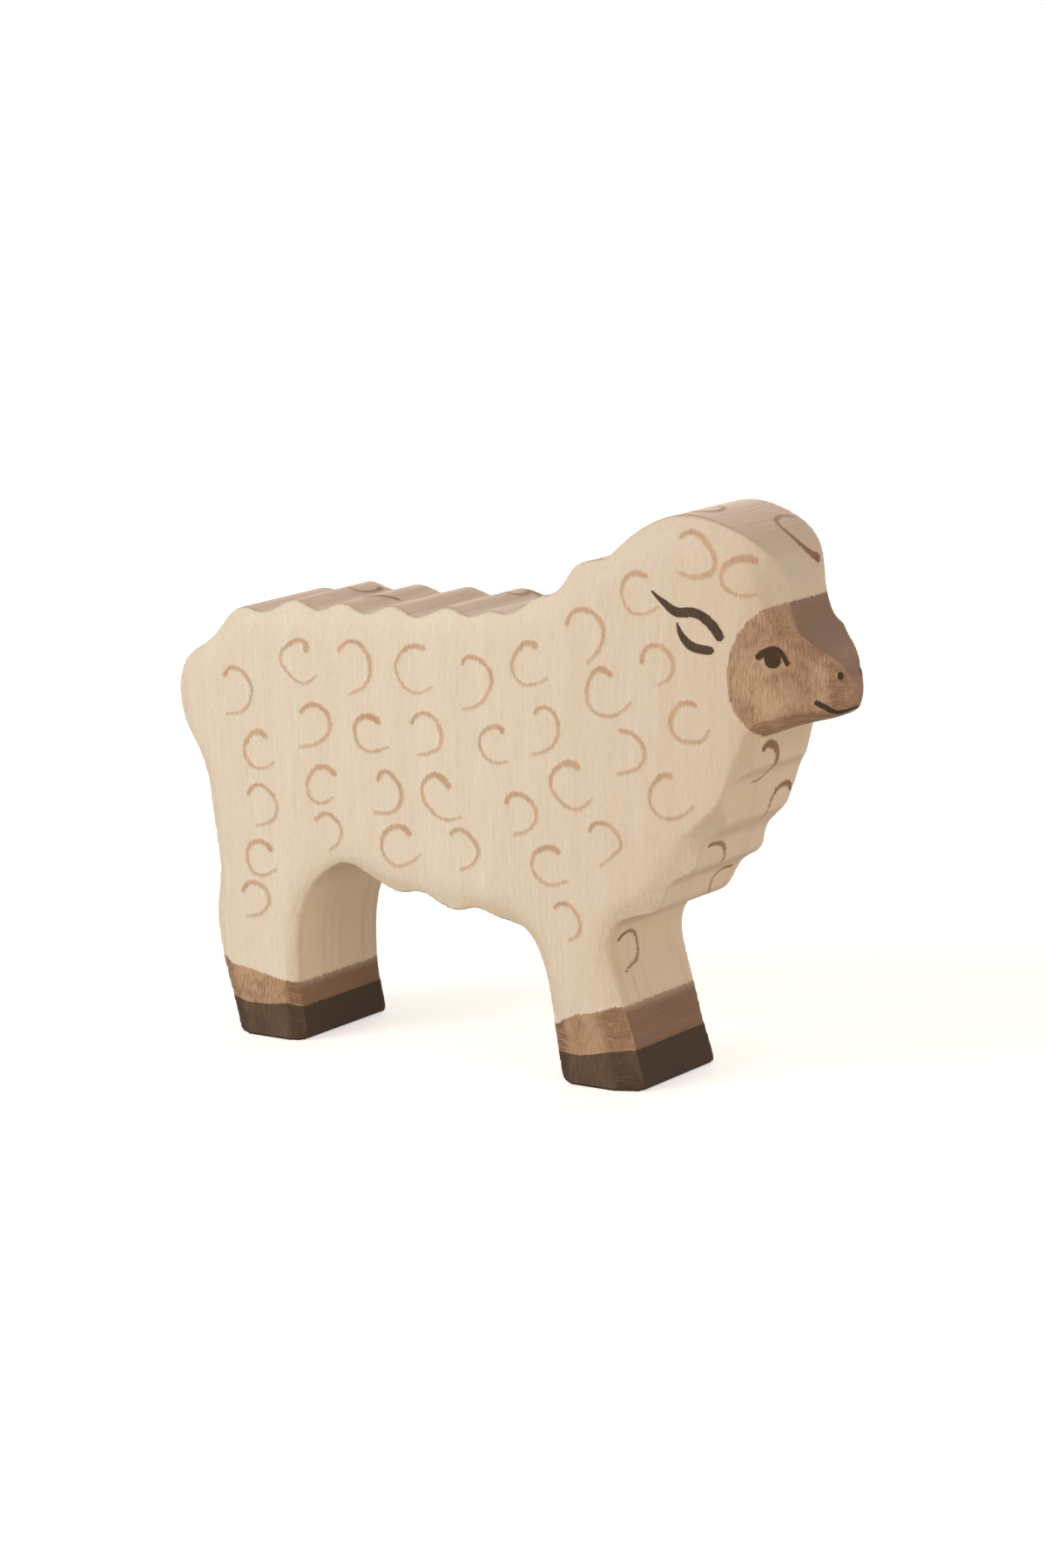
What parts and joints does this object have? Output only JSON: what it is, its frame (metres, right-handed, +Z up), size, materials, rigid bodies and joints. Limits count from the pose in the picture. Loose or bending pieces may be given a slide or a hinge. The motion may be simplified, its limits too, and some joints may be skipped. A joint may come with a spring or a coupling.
{
  "type": "wooden sheep figurine",
  "caption": "Standing sheep figurine cut from a thick pale board, with a wavy fleece outline, softly sanded rim, stained face and hooves and painted wool curls.",
  "frame": {"origin": "middle of the outline's length and thickness, on the floor under the feet", "axes": "+X toward the nose, +Y through the board to the left side, +Z up"},
  "size_m": [0.1177, 0.0252, 0.0902],
  "materials": {
    "pale_wood": "fine sanded maple with a thin matte oil",
    "brown_stain": "water stain, matte, grain showing through",
    "leg_stain": "light water stain, matte, grain showing through",
    "hoof_paint": "matte dark brown paint",
    "dark_paint": "matte dark brown brush strokes",
    "curl_paint": "thin light brown brush strokes"
  },
  "bodies": {
    "root": {"wood_body": "pale_wood", "face_stain": "brown_stain", "front_leg_stain": "leg_stain", "rear_leg_stain": "leg_stain", "front_hoof_paint": "hoof_paint", "rear_hoof_paint": "hoof_paint", "right_ear_strokes": "dark_paint", "left_ear_strokes": "dark_paint", "right_eye": "dark_paint", "left_eye": "dark_paint", "nostrils": "dark_paint", "mouth": "dark_paint", "right_flank_curls": "curl_paint", "left_flank_curls": "curl_paint", "back_curls": "curl_paint", "head_curls": "curl_paint", "chest_curls": "curl_paint"}
  },
  "joints": []
}
